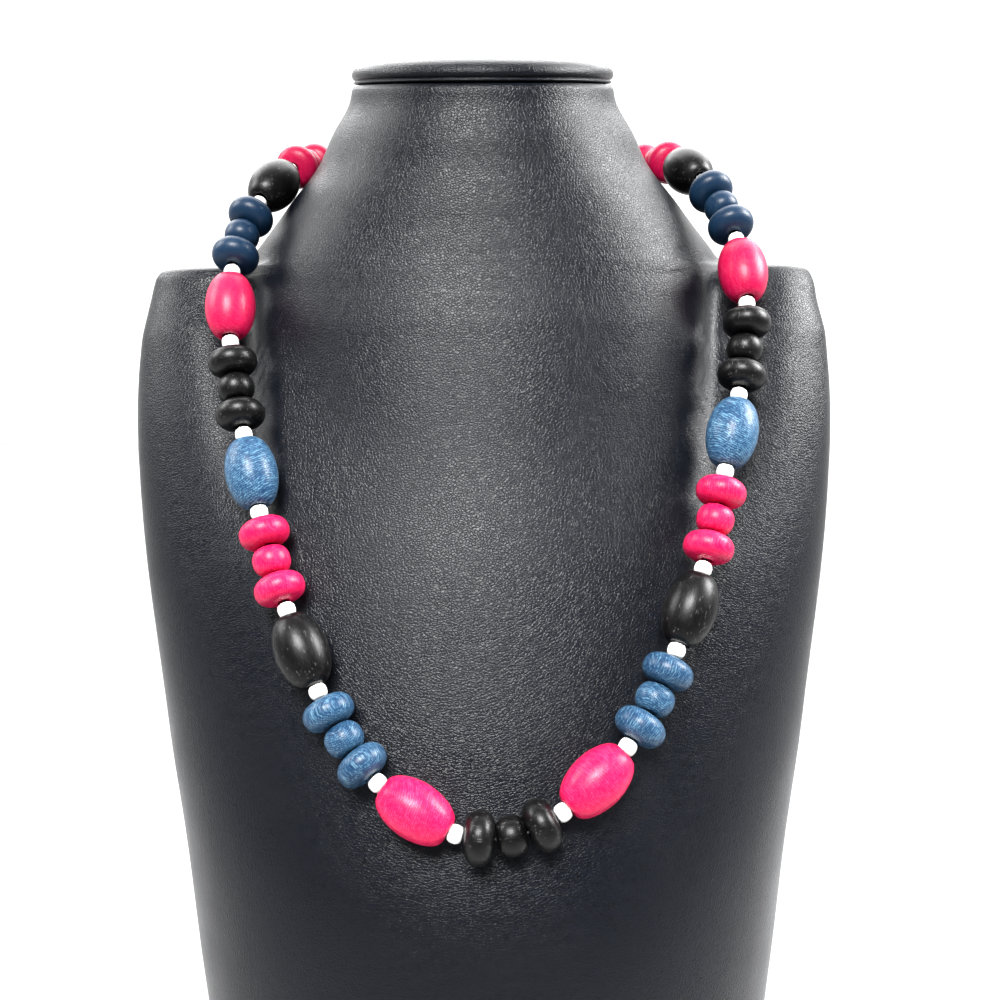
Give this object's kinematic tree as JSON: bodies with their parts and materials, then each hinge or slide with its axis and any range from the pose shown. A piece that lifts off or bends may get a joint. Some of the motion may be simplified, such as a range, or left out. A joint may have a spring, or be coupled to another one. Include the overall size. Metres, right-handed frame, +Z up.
{
  "type": "beaded necklace on a neck bust",
  "caption": "Long slip-on necklace of drilled wooden ovals, discs and rounds with small white beads, strung in one loop and lying on a padded leatherette neck bust.",
  "frame": {"origin": "centre of the bust's flat foot, on the surface it stands on", "axes": "+Z up; the bust faces -Y, so +X is to the right of someone looking at it"},
  "size_m": [0.2694, 0.2268, 0.3934],
  "materials": {
    "leatherette": "fine pebbled grain, soft satin",
    "pink_wood": "dyed and satin varnished",
    "blue_wood": "dyed and satin varnished",
    "black_wood": "dyed and satin varnished, open pores",
    "white_bead": "opaque and glossy",
    "thread": "waxed cord"
  },
  "bodies": {
    "root": {"bust_body": "leatherette", "disc_0_left": "black_wood", "disc_0_right": "black_wood", "disc_1_left_a": "blue_wood", "disc_1_left_b": "blue_wood", "disc_1_right_a": "blue_wood", "disc_1_right_b": "blue_wood", "disc_2_left_a": "pink_wood", "disc_2_left_b": "pink_wood", "disc_2_right_a": "pink_wood", "disc_2_right_b": "pink_wood", "disc_3_left_a": "black_wood", "disc_3_left_b": "black_wood", "disc_3_right_a": "black_wood", "disc_3_right_b": "black_wood", "disc_4_left_a": "blue_wood", "disc_4_left_b": "blue_wood", "disc_4_right_a": "blue_wood", "disc_4_right_b": "blue_wood", "neck_cap": "leatherette", "oval_1_left": "pink_wood", "oval_1_right": "pink_wood", "oval_2_left": "black_wood", "oval_2_right": "black_wood", "oval_3_left": "blue_wood", "oval_3_right": "blue_wood", "oval_4_left": "pink_wood", "oval_4_right": "pink_wood", "oval_5_left": "black_wood", "oval_5_right": "black_wood", "oval_6_left": "blue_wood", "oval_6_right": "blue_wood", "oval_7_back": "pink_wood", "round_0": "black_wood", "round_1_left": "blue_wood", "round_1_right": "blue_wood", "round_2_left": "pink_wood", "round_2_right": "pink_wood", "round_3_left": "black_wood", "round_3_right": "black_wood", "round_4_left": "blue_wood", "round_4_right": "blue_wood", "trio_5_left": "pink_wood", "trio_5_right": "pink_wood", "trio_6_left": "black_wood", "trio_6_right": "black_wood", "white_pair_1_left": "white_bead", "white_pair_1_right": "white_bead", "white_pair_2_left": "white_bead", "white_pair_2_right": "white_bead", "white_pair_3_left": "white_bead", "white_pair_3_right": "white_bead", "white_pair_4_left": "white_bead", "white_pair_4_right": "white_bead", "white_pair_5_left": "white_bead", "white_pair_5_right": "white_bead", "white_pair_6_left": "white_bead", "white_pair_6_right": "white_bead", "white_pair_7_back": "white_bead"}
  },
  "joints": []
}
